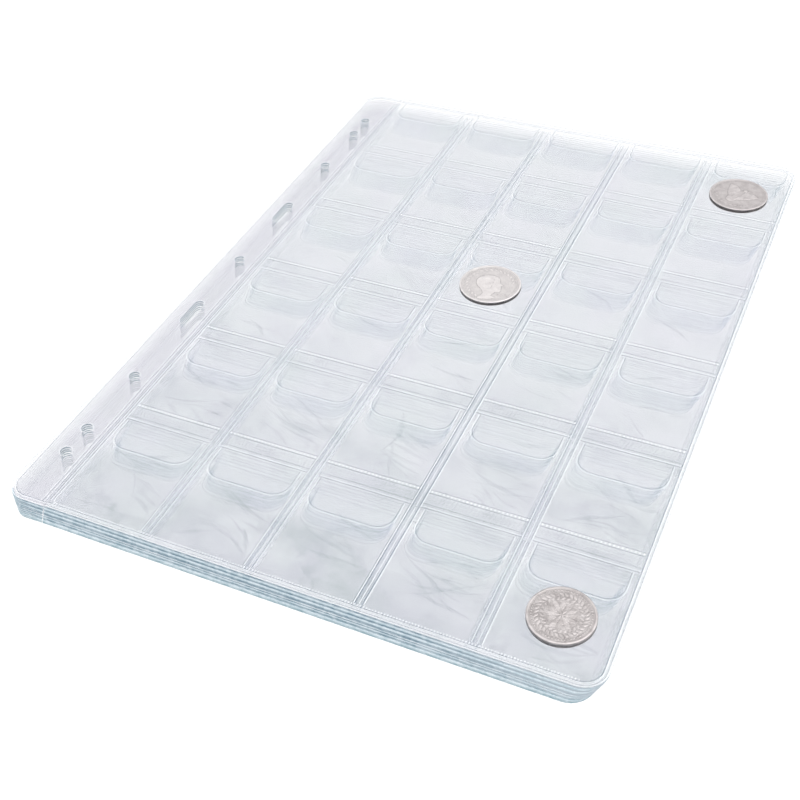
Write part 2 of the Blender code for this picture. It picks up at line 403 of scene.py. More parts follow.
def crease_at(x, y, seed, strength):
    """Sharp folds where a bent noise crosses zero, faded in patches, and soft clouds around them;
    the film is darkened there with painted reflection.
    """
    strength *= below_flap(y)
    bend = 7.0 * noise.noise(Vector((x * 0.03, y * 0.03, seed + 20.0)))
    value = noise.noise(Vector(((x + bend) * 0.022, (y + 0.55 * x - bend) * 0.075, seed)))
    fold = max(0.0, 1.0 - abs(value) / 0.11) ** 2
    patch = max(0.0, noise.noise(Vector((x * 0.035, y * 0.05, seed + 40.0))) + 0.12)
    crease_reflection = max(0.0, noise.noise(Vector((x * 0.045 + 5.0, y * 0.07, seed + 60.0))) + 0.05)
    return min(1.0, strength * (fold * patch * 2.4 + crease_reflection * 0.9))


# ---------------------------------------------------------------- shared outlines


def leaf_outline():
    c = CORNER
    corner_foot = arc(RIGHT - c, FOOT + c, c, -90, 0, CORNER_STEPS)
    corner_head = arc(RIGHT - c, HEAD - c, c, 0, 90, CORNER_STEPS)
    return [(LEAF_LEFT, FOOT), *corner_foot, *corner_head, (LEAF_LEFT, HEAD)]


def strip_outline():
    c = CORNER
    corner_head = arc(LEFT + c, HEAD - c, c, 90, 180, CORNER_STEPS)
    corner_foot = arc(LEFT + c, FOOT + c, c, 180, 270, CORNER_STEPS)
    return [(STRIP_RIGHT, FOOT), (STRIP_RIGHT, HEAD), *corner_head, *corner_foot]


def leaf_border(inset):
    """Path round the open sides of the leaf, set in from its edge."""
    r = max(0.5, CORNER - inset)
    x, y0, y1 = RIGHT - inset, FOOT + inset, HEAD - inset
    return [
        *line(LEAF_LEFT + 0.2, y0, x - r, y0, seed=inset)[:-1],
        *arc(x - r, y0 + r, r, -90, 0, BORDER_STEPS)[:-1],
        *line(x, y0 + r, x, y1 - r, seed=inset)[:-1],
        *arc(x - r, y1 - r, r, 0, 90, BORDER_STEPS)[:-1],
        *line(x - r, y1, LEAF_LEFT + 0.2, y1, seed=inset),
    ]


def strip_border(inset):
    """Path round the open sides of the binding strip, set in from its edge."""
    r = max(0.5, CORNER - inset)
    x, y0, y1 = LEFT + inset, FOOT + inset, HEAD - inset
    return [
        *line(STRIP_RIGHT - 0.2, y1, x + r, y1, seed=inset)[:-1],
        *arc(x + r, y1 - r, r, 90, 180, BORDER_STEPS)[:-1],
        *line(x, y1 - r, x, y0 + r, seed=inset)[:-1],
        *arc(x + r, y0 + r, r, 180, 270, BORDER_STEPS)[:-1],
        *line(x + r, y0, STRIP_RIGHT - 0.2, y0, seed=inset),
    ]


def hole_loop(y, length, radius):
    """Rim of a round or slotted ring hole, counter-clockwise seen from above."""
    reach = max(0.0, length / 2 - HOLE_RADIUS)
    upper = arc(HOLE_X, y + reach, radius, 0, 180, HOLE_STEPS)
    lower = arc(HOLE_X, y - reach, radius, 180, 360, HOLE_STEPS)
    return (upper[:-1] + lower[:-1]) if reach == 0 else upper + lower


HOLES = [(y, 2 * HOLE_RADIUS) for y in ROUND_HOLES] + [(y, SLOT_LENGTH) for y in SLOT_HOLES]

leaf_flat, leaf_faces = triangulate(spread(leaf_outline(), LEAF_GAP), [], LEAF_GAP)
hole_loops = [hole_loop(y, length, HOLE_RADIUS) for y, length in HOLES]
strip_flat, strip_faces = triangulate(spread(strip_outline(), STRIP_GAP), hole_loops, STRIP_GAP)
tongue_outline = [
    (-FLAP_WIDTH / 2, 0.0),
    *arc(-FLAP_WIDTH / 2 + FLAP_RADIUS, -FLAP_DROP + FLAP_RADIUS, FLAP_RADIUS, 180, 270, 7),
    *arc(FLAP_WIDTH / 2 - FLAP_RADIUS, -FLAP_DROP + FLAP_RADIUS, FLAP_RADIUS, 270, 360, 7),
    (FLAP_WIDTH / 2, 0.0),
]
tongue_flat, tongue_faces = triangulate(spread(tongue_outline, LEAF_GAP), [], LEAF_GAP)


# ---------------------------------------------------------------- parts of a page


def pocket_foot(row):
    return FOOT_WELD if row == ROWS - 1 else ROW_LINES[row + 1] + BAND


def add_tongue(build, x, y, z, seed, lift=0.10, top=False):
    """A flap hanging from its row line at (x, y); its root is at height z."""
    thickness, inset = 0.10, 0.35
    flutter = lift * noise.noise(Vector((x * 0.13, y * 0.11, seed)))

    def hang(across, down):
        wave = 0.05 * np.sin(across / FLAP_WIDTH * 3.0 + seed)
        return z + flutter * down**2 + wave * down

    low = hang(tongue_flat[:, 0], -tongue_flat[:, 1] / FLAP_DROP)
    slab(build, tongue_flat + (x, y), tongue_faces, low, low + thickness, TONGUE, edge=TONGUE)
    half, r = FLAP_WIDTH / 2 - inset, FLAP_RADIUS - inset
    foot = -FLAP_DROP + inset
    rim = [
        (-half, -0.6),
        (-half, foot + r),
        *arc(-half + r, foot + r, r, 180, 270, 8)[1:],
        (0.0, foot),
        *arc(half - r, foot + r, r, 270, 360, 8)[:-1],
        (half, foot + r),
        (half, -0.6),
    ]
    across = np.array([p[0] for p in rim])
    down = np.array([-p[1] / FLAP_DROP for p in rim])
    level = hang(across, down)
    ribbon(build, [(x + px, y + py) for px, py in rim], 0.26, level + 0.07, 0.06, BRIGHT)
    if top:
        inner = [(x + px * 0.97, y + py * 0.955 - 0.1) for px, py in rim]
        ribbon(build, inner, 0.24, level + 0.07, 0.05, DARK)
    else:
        shade = [(x + px * 0.94 + 0.3, y + py * 0.88) for px, py in rim]
        open_side = np.sign(across + 0.01)
        width = 2.6 * smooth_step((down - 0.25) / 0.6) * (0.75 + 0.25 * open_side) + 0.2
        ribbon(build, shade, width, level + 0.02, 0.05, SHADE)


def add_weld(build, x, y0, y1, z, seed):
    """A pressed weld between two columns: tinted floor, ridges, and knurls on the top page."""
    ribbon(build, line(x, y0, x, y1, seed=seed), WELD * 1.02, z, 0.05, TINT)
    for offset, width, material in WELD_LINES:
        path = line(x + offset, y0, x + offset, y1, seed=seed)
        ribbon(build, path, width, z + 0.03, 0.11, material)
    if build.page == 1:
        knurls(build, x, y0, x, y1, 1.7, (1.5, 0.34), 35, z + 0.03, 0.07, SHADE)


def add_row_band(build, row, z, seed):
    """Weld at the foot of a row's pockets and the fold line below it."""
    foot = pocket_foot(row)
    if row == ROWS - 1:
        if build.page == 1:
            y = FOOT + 2.3
            knurls(build, LEAF_LEFT + 2, y, RIGHT - 7, y, 1.0, (0.8, 0.45), 12, z, 0.1, BRIGHT)
        return
    for column in range(COLUMNS):
        left = WELDS[column] + WELD / 2 + 0.2
        right = min(WELDS[column] + PITCH - WELD / 2 - 0.2, OPEN_WELD)
        knurls(build, left, foot, right, foot, 1.35, (0.8, 0.52), 12, z, 0.12, STITCH)
        for rise, width in ((-0.8, 0.3), (0.75, 0.2)):
            path = line(left, foot + rise, right, foot + rise, seed=seed)
            ribbon(build, path, width, z, 0.08, DARK)
        for drop, width, material in FOLD_LINES:
            path = line(left, foot - drop, right, foot - drop, seed=seed + 1)
            ribbon(build, path, width, z, 0.07, material)


def foot_path(side, start, corner_x, inset):
    """Path along the foot of a page and round its outer corner; side is 1 for the open edge."""
    r = CORNER - inset
    turn = arc(0.0, FOOT + CORNER, r, -90, -35, 6)
    bend = [(corner_x + side * x, y) for x, y in turn]
    return [*line(start, FOOT + inset, corner_x, FOOT + inset, seed=inset)[:-1], *bend]


def add_leaf_hems(build, z):
    for inset, width, material in LEAF_HEM_LINES:
        ribbon(build, leaf_border(inset), width, z, 0.09, material)


def add_binding_weld(build, offsets, z, seed):
    for offset, width, material in offsets:
        x = GRID_LEFT + offset
        path = line(x, FOOT_WELD - 1.0, x, HEAD - 4.5, seed=seed)
        ribbon(build, path, width, z, 0.1, material)


def add_streaks(build, x0, x1, y0, y1, z, seed, count):
    """Long soft folds wandering across a pocket, as low ridges whose dark colour is painted
    reflection.
    """
    steps, fewest = 15, 6
    draw = random.Random(seed)
    for _ in range(count):
        length = draw.uniform(16.0, 34.0)
        angle = math.radians(draw.gauss(-14.0, 20.0))
        bend = draw.gauss(0.0, 0.035)
        x = draw.uniform(x0, x1 - 6.0)
        y = draw.uniform(y0 + 2.0, y1 - 1.0)
        width = draw.uniform(0.5, 1.7)
        path = []
        for i in range(steps):
            if not (x0 < x < x1 and y0 < y < y1):
                break
            path.append((x, y))
            x += math.cos(angle) * length / (steps - 1)
            y += math.sin(angle) * length / (steps - 1)
            angle += bend + 0.09 * math.sin(i * 0.8 + seed)
        if len(path) >= fewest:
            t = np.linspace(0, 1, len(path))
            ribbon(build, path, 0.06 + width * np.sin(math.pi * t) ** 1.2, z, 0.05, STREAK)


# Which surface stands at each material number
BASE_SET = (
    "film", "tint", "bright", "dark", "edge", "tongue", "foot_hem", "pale_edge", "streak", "shade",
    "stitch", "hole", "back_edge",
)
TOP_NAMES = ("bright", "dark", "pale_edge", "streak", "stitch", "hole", "back_edge")
TOP_SET = tuple(f"top_{n}" if n in TOP_NAMES else n for n in BASE_SET)
TOP_SET = tuple("hem" if n == "foot_hem" else n for n in TOP_SET)
BINDING_SET = ("binding", *BASE_SET[1:])
TOP_BINDING_SET = ("top_binding", *TOP_SET[1:])

FOLDED_PAGES = range(2, 5)  # deeper folds don't show
NEXT_PAGES = range(2, 4)  # their strips are tinted as the top one is
UPPER_PAGES = range(2, 6)  # their hole walls still show
LOW_PAGES = range(8, PAGES + 1)  # their cut edges are paler


def vinyl_surfaces(names=BASE_SET):
    return [surfaces[name] for name in names]


# ---------------------------------------------------------------- materials


def node(tree, kind, **values):
    made = tree.nodes.new(kind)
    for key, value in values.items():
        setattr(made, key, value)
    return made


def noise_node(tree, scale, detail=3.0, distortion=0.0):
    place = node(tree, "ShaderNodeTexCoord")
    grain = node(tree, "ShaderNodeTexNoise")
    grain.inputs["Scale"].default_value = scale
    grain.inputs["Detail"].default_value = detail
    grain.inputs["Distortion"].default_value = distortion
    tree.links.new(place.outputs["Object"], grain.inputs["Vector"])
    return grain.outputs["Fac"]


def ramp_node(tree, factor, stops):
    ramp = node(tree, "ShaderNodeValToRGB")
    while len(ramp.color_ramp.elements) < len(stops):
        ramp.color_ramp.elements.new(0.5)
    for element, (place, colour) in zip(ramp.color_ramp.elements, stops):
        element.position = place
        element.color = (*colour, 1.0)
    tree.links.new(factor, ramp.inputs["Fac"])
    return ramp.outputs["Color"]


def range_node(tree, value, low, high, to_low, to_high):
    made = node(tree, "ShaderNodeMapRange")
    for name, number in (
        ("From Min", low), ("From Max", high), ("To Min", to_low), ("To Max", to_high)
    ):
        made.inputs[name].default_value = number
    tree.links.new(value, made.inputs["Value"])
    return made.outputs["Result"]


def blend(tree, factor, colour, other):
    """A colour that turns into another, fixed one with a factor."""
    mix = node(tree, "ShaderNodeMix", data_type="RGBA")
    tree.links.new(factor, mix.inputs[0])
    tree.links.new(colour, mix.inputs[6])
    mix.inputs[7].default_value = (*other, 1.0)
    return mix.outputs[2]


def bump_node(tree, shader, height, strength, distance):
    made = node(tree, "ShaderNodeBump")
    made.inputs["Strength"].default_value = strength
    made.inputs["Distance"].default_value = distance
    tree.links.new(height, made.inputs["Height"])
    tree.links.new(made.outputs["Normal"], shader.inputs["Normal"])


# The foot's cut edge turns lighter between these places, towards the open corner
LIGHTER_FROM, LIGHTER_TO = 0.045, 0.100  # metres across the page


def vinyl(name, pale, deep, alpha, roughness, scale=55.0, crease_reflection=None, inner=None, open_corner_colour=None):
    """Clear soft vinyl: colour between pale and deep in soft clouds, fine ripple in the gloss.

    The crease colour and cover are painted reflection in the folds; inner is the cover where a wall
    is seen from inside; the open-corner colour is what the film turns to towards the open corner.
    """
    made = bpy.data.materials.new(name)
    made.use_nodes = True
    tree = made.node_tree
    shader = tree.nodes["Principled BSDF"]
    shader.inputs["IOR"].default_value = 1.5
    shader.inputs["Specular IOR Level"].default_value = 0.35
    shader.inputs["Alpha"].default_value = alpha
    clouds = noise_node(tree, scale, 2.0, 0.4)
    colour = ramp_node(tree, clouds, ((0.38, pale), (0.62, deep)))
    gloss = range_node(tree, clouds, 0.3, 0.7, roughness * 0.8, roughness * 1.25)
    tree.links.new(gloss, shader.inputs["Roughness"])
    bump_node(tree, shader, clouds, 0.04, 0.0004)
    # Creases darken the colour and raise the cover: painted reflection
    if crease_reflection:
        reflection_colour, reflection_cover = crease_reflection
        mark = node(tree, "ShaderNodeAttribute", attribute_name="crease").outputs["Fac"]
        colour = blend(tree, mark, colour, reflection_colour)
        seen = range_node(tree, mark, 0.0, 1.0, alpha, reflection_cover)
        tree.links.new(seen, shader.inputs["Alpha"])
    # Lighter towards the open corner
    if open_corner_colour:
        place = node(tree, "ShaderNodeTexCoord")
        split = node(tree, "ShaderNodeSeparateXYZ")
        tree.links.new(place.outputs["Object"], split.inputs[0])
        reach = range_node(tree, split.outputs["X"], LIGHTER_FROM, LIGHTER_TO, 0.0, 1.0)
        colour = blend(tree, reach, colour, open_corner_colour)
    if inner is not None:
        side = node(tree, "ShaderNodeNewGeometry")
        seen = range_node(tree, side.outputs["Backfacing"], 0.0, 1.0, alpha, inner)
        tree.links.new(seen, shader.inputs["Alpha"])
    tree.links.new(colour, shader.inputs["Base Color"])
    return made


STRIP_TINT = (0.12, 0.12, 0.24), (0.10, 0.12, 0.21)
# Lighter copies of the cut-edge colour: painted light
SIDE_PAINTED_LIGHT = (0.48, 0.56, 0.62), (0.36, 0.45, 0.50)
# Near-white of the painted highlights
HIGHLIGHT_WHITE = (0.97, 0.98, 1.0), (0.92, 0.95, 0.98)

# name, colours, cover of one face, roughness, cloud scale
surfaces = {
    "film": vinyl(
        "clear_vinyl_film", (0.10, 0.12, 0.24), (0.08, 0.14, 0.21), 0.0190, 0.20,
        # Dark teal in the creases is painted reflection
        crease_reflection=((0.02, 0.10, 0.12), 0.068),
    ),
    "tint": vinyl("vinyl_weld_floor", (0.06, 0.14, 0.28), (0.05, 0.17, 0.24), 0.007, 0.3),
    # The bright and top_bright lines along welds, hems, rims and folds are painted highlights
    "bright": vinyl("vinyl_weld_painted_highlight", (0.96, 0.97, 0.98), (0.90, 0.93, 0.95), 0.08, 0.25, 90),
    # The dark and top_dark lines beside welds, hems, rims and folds are painted shade
    "dark": vinyl("vinyl_weld_painted_shade", (0.04, 0.10, 0.18), (0.03, 0.11, 0.15), 0.030, 0.3, 90),
    "top_bright": vinyl("vinyl_top_painted_highlight", *HIGHLIGHT_WHITE, 0.40, 0.25, 90),
    "top_dark": vinyl("vinyl_top_painted_shade", (0.06, 0.12, 0.20), (0.05, 0.13, 0.17), 0.22, 0.3, 90),
    "edge": vinyl(
        "vinyl_cut_edge", (0.31, 0.40, 0.47), (0.14, 0.23, 0.30), 0.94, 0.35, 500,
        inner=0.03, open_corner_colour=(0.42, 0.49, 0.55),
    ),
    "low_edge": vinyl(
        "vinyl_low_cut_edge", (0.42, 0.53, 0.59), (0.20, 0.33, 0.39), 0.90, 0.35, 500, inner=0.03
    ),
    # The open side and the back show lighter copies of the cut-edge colour as painted light
    "pale_edge": vinyl("vinyl_side_painted_light", *SIDE_PAINTED_LIGHT, 0.80, 0.35, 300, inner=0.015),
    "top_pale_edge": vinyl("vinyl_top_side_painted_light", *SIDE_PAINTED_LIGHT, 0.80, 0.35, 300, inner=0.35),
    "back_edge": vinyl(
        "vinyl_back_edge_painted_light", (0.33, 0.43, 0.50), (0.17, 0.27, 0.34), 0.90, 0.35, 500, inner=0.015
    ),
    "top_back_edge": vinyl(
        "vinyl_top_back_painted_light", (0.36, 0.46, 0.53), (0.20, 0.30, 0.37), 0.90, 0.35, 500, inner=0.35
    ),
    "tongue": vinyl("vinyl_flap", (0.04, 0.18, 0.26), (0.03, 0.20, 0.22), 0.0030, 0.20),
    # Pale bead at the foot of the lower pages: painted highlight
    "foot_hem": vinyl("vinyl_foot_hem_painted_highlight", (0.62, 0.71, 0.76), (0.46, 0.57, 0.63), 0.75, 0.3, 500),
    "hem": vinyl("vinyl_hem", (0.26, 0.26, 0.40), (0.22, 0.24, 0.35), 0.05, 0.3),
    # Dark fold streaks are painted reflection
    "streak": vinyl("vinyl_fold_painted_reflection", (0.03, 0.11, 0.13), (0.02, 0.10, 0.11), 0.030, 0.3),
    "top_streak": vinyl("vinyl_top_fold_painted_reflection", (0.06, 0.15, 0.17), (0.04, 0.13, 0.14), 0.045, 0.3),
    "shade": vinyl("vinyl_flap_shade", (0.02, 0.13, 0.30), (0.02, 0.17, 0.23), 0.018, 0.3),
    # Near-white pressed stitches are painted highlights
    "stitch": vinyl("vinyl_stitch_painted_highlight", *HIGHLIGHT_WHITE, 0.03, 0.25, 90),
    "top_stitch": vinyl("vinyl_top_stitch_painted_highlight", (1.0, 1.0, 1.0), (0.95, 0.97, 0.98), 0.60, 0.25, 90),
    "hole": vinyl(
        "vinyl_hole_wall", (0.10, 0.16, 0.20), (0.08, 0.15, 0.18), 0.35, 0.35, 90, inner=0.03
    ),
    "top_hole": vinyl(
        "vinyl_top_hole_wall", (0.16, 0.23, 0.28), (0.12, 0.20, 0.24), 0.70, 0.35, 90, inner=0.06
    ),
    "top_binding": vinyl("vinyl_top_strip", *STRIP_TINT, 0.0500, 0.25),
    "binding": vinyl("vinyl_binding_strip", *STRIP_TINT, 0.0165, 0.25),
}


# ---------------------------------------------------------------- pages


def settle(piece, body, slot, *nodes):
    """Hands a finished piece over; its shadow would fall on the floor, ten pages further down."""
    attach(piece, body)
    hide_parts(*nodes)
    piece.visible_shadow = False
    piece.visible_diffuse = False


def down_page(y):
    """0 at the head of the page and 1 at its foot."""
    return (HEAD - y) / (HEAD - FOOT)


def heights(flat, base, depth, seed):
    return np.array([base + depth * ripple(x, y, seed) for x, y in flat])


def make_strip(page):
    base = float(PAGES - page)
    build = Build(page)
    high = heights(strip_flat, base + STRIP_TOP, 0.04, page * 1.7)
    slab(build, strip_flat, strip_faces, base + FILM_LOW, high, FILM)
    top = base + RIDGES
    for y, length in HOLES:
        rim = hole_loop(y, length, HOLE_RADIUS + 0.35)
        ribbon(build, rim, 0.24, top, 0.06, BRIGHT, closed=True)
    for inset, width, material in HEM_LINES:
        ribbon(build, strip_border(inset), width, top, 0.1, material)
    if page > 1:
        # The pale bead along the foot is a painted highlight
        path = foot_path(-1, STRIP_RIGHT - 0.2, LEFT + CORNER, 0.35)
        ribbon(build, path[::-1], 0.6, base + FOOT_HEM, 0.24, HEM)
    add_binding_weld(build, STRIP_SIDE_LINES, top, page)
    names = list(TOP_BINDING_SET if page == 1 else BINDING_SET)
    if page in UPPER_PAGES:
        names[HOLE] = "top_hole"
    if page in NEXT_PAGES:
        names[FILM] = "top_binding"
    if page in LOW_PAGES:
        names[EDGE] = "low_edge"
    piece = build.object(f"page_{page:02d}_binding", vinyl_surfaces(names))
    settle(piece, f"page_{page:02d}", "strip_vinyl", f"page_{page:02d}_binding_strip")


def make_leaf(page):
    base = float(PAGES - page)
    build = Build(page)
    seed = page * 2.3
    high = heights(leaf_flat, base + LEAF_TOP, 0.04, seed)
    # Crease marks, and their painted reflection, grow towards the foot
    crease = [
        crease_at(x, y, seed, 0.12 + 0.75 * down_page(y) ** 2) + 0.10 * down_page(y) ** 5
        for x, y in leaf_flat
    ]
    slab(build, leaf_flat, leaf_faces, base + FILM_LOW, high, FILM, crease)
    top = base + RIDGES
    for x in WELDS[1:]:
        add_weld(build, x, FOOT_WELD, HEAD_WELD, top, seed)
    for row in range(ROWS):
        add_row_band(build, row, top, seed)
        for column in range(COLUMNS):
            flap_low, flap_high = FLAPS[row, column]
            middle = (flap_low[0] + flap_high[0]) / 2
            add_tongue(build, middle, ROW_LINES[row], top + 0.1, seed)
            if page in FOLDED_PAGES and LOWER_FOLDS[row]:
                left = WELDS[column] + 3.0
                y0 = pocket_foot(row) + 1.5
                place = (left, left + 31.0, y0, y0 + 30.0, top - 0.02)
                mark = page * 100 + row * 10 + column
                add_streaks(build, *place, mark, LOWER_FOLDS[row])
    fold = ROW_LINES[0] + 0.4
    ribbon(build, line(LEAF_LEFT + 4, fold, OPEN_WELD, fold, seed=seed), 0.3, top, 0.08, DARK)
    add_leaf_hems(build, top)
    # The pale bead along the foot is a painted highlight
    path = foot_path(1, LEAF_LEFT + 0.2, RIGHT - CORNER, 0.35)
    ribbon(build, path, 0.6, base + FOOT_HEM, 0.24, HEM)
    add_binding_weld(build, LEAF_SIDE_LINES, top, page)
    names = list(BASE_SET)
    if page in LOW_PAGES:
        names[EDGE] = "low_edge"
    piece = build.object(f"page_{page:02d}_films", vinyl_surfaces(names))
    settle(piece, f"page_{page:02d}", "pocket_vinyl", f"page_{page:02d}_pocket_leaf")


def make_back_sheet():
    base = sheet_low[2]
    build = Build()
    high = heights(leaf_flat, base + 0.22, 0.03, 31.0)
    slab(build, leaf_flat, leaf_faces, base + 0.05, high, FILM)
    top = base + 0.24
    lip_foot = ROW_LINES[0] + 0.3
    outline = [
        (LEAF_LEFT, lip_foot),
        (RIGHT - 1.0, lip_foot),
        *arc(RIGHT - CORNER, HEAD - CORNER, CORNER, 25, 90, 6),
        (LEAF_LEFT, HEAD),
    ]
    flat, faces = triangulate(spread(outline, 3.0), [], 3.0, 1.5)
    lift = np.array([0.15 * ripple(x, y, 12.0) for x, y in flat])
    slab(build, flat, faces, LIP_LOW + lift * 0.5, LIP_TOP + lift * 0.5, HEM)
    add_leaf_hems(build, top)
    fold = ROW_LINES[0] + 0.5
    path = line(LEAF_LEFT + 1, fold, OPEN_WELD, fold, seed=4.0)
    ribbon(build, path, 0.3, LIP_TOP + 0.01, 0.1, BRIGHT)
    piece = build.object("page_01_back_film", vinyl_surfaces(TOP_SET))
    settle(piece, "page_01", "sheet_vinyl", "page_01_back_sheet")


def make_pocket_row(row):
    low, high = box_mm(f"page_01_pocket_row_{row + 1}")
    build = Build()
    seed = 3.7
    y0, y1 = low[1], high[1]
    outline = [(LEAF_LEFT, y0), (RIGHT, y0), (RIGHT, y1), (LEAF_LEFT, y1)]
    if row == ROWS - 1:
        corner = arc(RIGHT - CORNER, FOOT + CORNER, CORNER, -90, 0, CORNER_STEPS)
        outline = [(LEAF_LEFT, y0), *corner, (RIGHT, y1), (LEAF_LEFT, y1)]
    flat, faces = triangulate(spread(outline, ROW_GAP), [], ROW_GAP)
    crease = np.array([crease_at(x, y, seed, ROW_CREASE[row]) for x, y in flat])
    lift = np.array([0.05 * ripple(x, y, seed) for x, y in flat]) + 0.10 * crease
    hem = (flat[:, 0] > RIGHT - 2.4) | (flat[:, 1] < FOOT + 2.4)
    low_z = np.where(hem, sheet_low[2] + 0.34, FRONT_LOW + lift)
    slab(build, flat, faces, low_z, FRONT_TOP + lift, FILM, crease)
    y_foot = FOOT_WELD if row == ROWS - 1 else y0
    y_head = min(HEAD_WELD, y1) if row == 0 else y1
    for x in WELDS[1:]:
        add_weld(build, x, y_foot, y_head, FRONT_RIDGES, seed)
    add_row_band(build, row, FRONT_RIDGES, seed)
    for offset, width, material in LEAF_SIDE_LINES:
        x = GRID_LEFT + offset
        ribbon(build, line(x, y_foot, x, y1, seed=1.0), width, FRONT_RIDGES, 0.12, material)
    for inset, width, material in HEM_LINES:
        x = RIGHT - inset
        path = line(x, y0, x, y1, seed=inset)
        if row == ROWS - 1:
            path = [*(p for p in leaf_border(inset) if p[1] < y1), (x, y1)]
        ribbon(build, path, width, FRONT_RIDGES, 0.1, material)
    for column in range(COLUMNS):
        left = WELDS[column] + 2.6
        foot = pocket_foot(row) + 1.2
        place = (left, left + 32.5, foot, foot + 33.0, FRONT_RIDGES - 0.02)
        add_streaks(build, *place, row * 7 + column, ROW_FOLDS[row])
    piece = build.object(f"page_01_pocket_row_{row + 1}_film", vinyl_surfaces(TOP_SET))
    settle(piece, "page_01", "pocket_vinyl", f"page_01_pocket_row_{row + 1}")


def make_flaps():
    for (row, column), (low, high) in FLAPS.items():
        build = Build()
        middle = (low[0] + high[0]) / 2
        add_tongue(build, middle, high[1], high[2] - 0.17, row * 5 + column, 0.03, top=True)
        piece = build.object(f"flap_r{row + 1}_c{column + 1}_film", vinyl_surfaces(TOP_SET))
        body = f"flap_r{row + 1}_c{column + 1}"
        settle(piece, body, "flap_vinyl", f"page_01_flap_r{row + 1}_c{column + 1}")


for page in range(1, PAGES + 1):
    make_strip(page)
    if page > 1:
        make_leaf(page)
make_back_sheet()
for row in range(ROWS):
    make_pocket_row(row)
make_flaps()


# ---------------------------------------------------------------- coins


# Colour of painted shade in hollows and on the edge, and of random speckle
SPECKLE_AND_SHADE = (0.05, 0.045, 0.042)
FIELD_RINGS = 104
RIM_LEVELS = (-0.05, 0.0, 0.0, -0.07)
SEGMENTS = 360
REEDS = 90
# Places whose relief is compared with that in the middle, to find the hollows that take painted
# shade
AROUND = [(0.22 * math.cos(q), 0.22 * math.sin(q)) for q in (0.3, 1.87, 3.44, 5.01)]


def coin_surface(name, pale, deep, roughness):
    made = bpy.data.materials.new(name)
    made.use_nodes = True
    tree = made.node_tree
    shader = tree.nodes["Principled BSDF"]
    shader.inputs["Metallic"].default_value = 1.0
    wear = noise_node(tree, 420.0, 4.0, 0.3)
    colour = ramp_node(tree, wear, ((0.35, deep), (0.65, pale)))
    # Darkened by the mark: painted shade in hollows and on the edge, and random speckle
    mark = node(tree, "ShaderNodeAttribute", attribute_name="crease").outputs["Fac"]
    colour = blend(tree, mark, colour, SPECKLE_AND_SHADE)
    tree.links.new(colour, shader.inputs["Base Color"])
    gloss = range_node(tree, wear, 0.3, 0.7, roughness * 0.75, roughness * 1.3)
    tree.links.new(gloss, shader.inputs["Roughness"])
    bump_node(tree, shader, noise_node(tree, 1500.0), 0.9, 0.00010)
    return made


def polygon_depth(points, px, py):
    """Distance inside a closed outline for arrays of places, 0 outside it."""
    points = np.array(points, float)
    ahead = np.roll(points, -1, 0)
    best = np.full(px.shape, 1e9)
    crossing = np.zeros(px.shape, bool)
    for (x0, y0), (x1, y1) in zip(points, ahead):
        dx, dy = x1 - x0, y1 - y0
        t = np.clip(((px - x0) * dx + (py - y0) * dy) / (dx * dx + dy * dy), 0, 1)
        best = np.minimum(best, np.hypot(px - x0 - t * dx, py - y0 - t * dy))
        if y0 != y1:
            crossing ^= ((y0 > py) != (y1 > py)) & (px < dx * (py - y0) / dy + x0)
    return np.where(crossing, best, 0.0)


def dome(depth, reach):
    """Rounded relief from a depth inside an outline."""
    t = np.clip(depth / reach, 0, 1)
    return np.sqrt(1 - (1 - t) ** 2)


def beads(r, angle, radius, count, size):
    """A ring of small round pellets."""
    step = 2 * math.pi / count
    off = (angle / step - np.round(angle / step)) * step * radius
    return np.sqrt(np.clip(1 - ((r - radius) ** 2 + off**2) / size**2, 0, 1))


def leaves(r, angle, radius, count, length, width, tilt):
    """A ring of pointed laurel leaves, leaning to one side."""
    step = 2 * math.pi / count
    off = (angle / step - np.round(angle / step)) * step * radius
    up = r - radius
    u = up * math.cos(tilt) + off * math.sin(tilt)
    v = -up * math.sin(tilt) + off * math.cos(tilt)
    fit = 1 - (u / length) ** 2 - np.abs(v) / width
    return np.clip(fit, 0, 1) ** 0.6


def head_relief(x, y, size):
    """A calm classical profile on textbook thirds, with tied-back wavy hair."""
    face = [
        (-0.02, -0.62), (0.10, -0.50), (0.16, -0.44), (0.30, -0.45), (0.36, -0.40), (0.35, -0.33),
        (0.39, -0.29), (0.37, -0.25), (0.40, -0.21), (0.38, -0.15), (0.46, -0.10), (0.44, -0.05),
        (0.37, 0.06), (0.38, 0.14), (0.39, 0.26), (0.34, 0.38), (0.24, 0.48), (0.08, 0.55),
        (-0.12, 0.56), (-0.30, 0.49), (-0.43, 0.34), (-0.47, 0.15), (-0.43, -0.04), (-0.36, -0.16),
        (-0.30, -0.30), (-0.28, -0.46), (-0.38, -0.60), (-0.52, -0.70), (-0.36, -0.80),
        (-0.10, -0.82), (0.14, -0.76),
    ]
    px, py = x / size, y / size
    depth = polygon_depth(face, px, py)
    relief = dome(depth, 0.17)
    hair = (px < 0.12 + 0.35 * (py - 0.1)) & (py > -0.22) & (depth > 0)
    swirl = np.hypot(px - 0.1, py + 0.12) + 0.25 * np.sin(3 * px)
    waves = 0.5 + 0.5 * np.sin(26 * swirl + 5 * py)
    relief = relief + np.where(hair, 0.30 * waves, 0.0)
    relief -= 0.25 * np.exp(-(((px - 0.29) / 0.05) ** 2 + ((py - 0.06) / 0.035) ** 2))
    relief += 0.10 * np.exp(-(((px - 0.23) / 0.09) ** 2 + ((py + 0.14) / 0.09) ** 2))
    relief -= 0.15 * np.exp(-(((px - 0.33) / 0.06) ** 2 + ((py + 0.30) / 0.015) ** 2))
    relief += 0.22 * np.exp(-(((px + 0.07) / 0.05) ** 2 + ((py + 0.01) / 0.085) ** 2))
    return np.where(depth > 0, relief, 0.0)


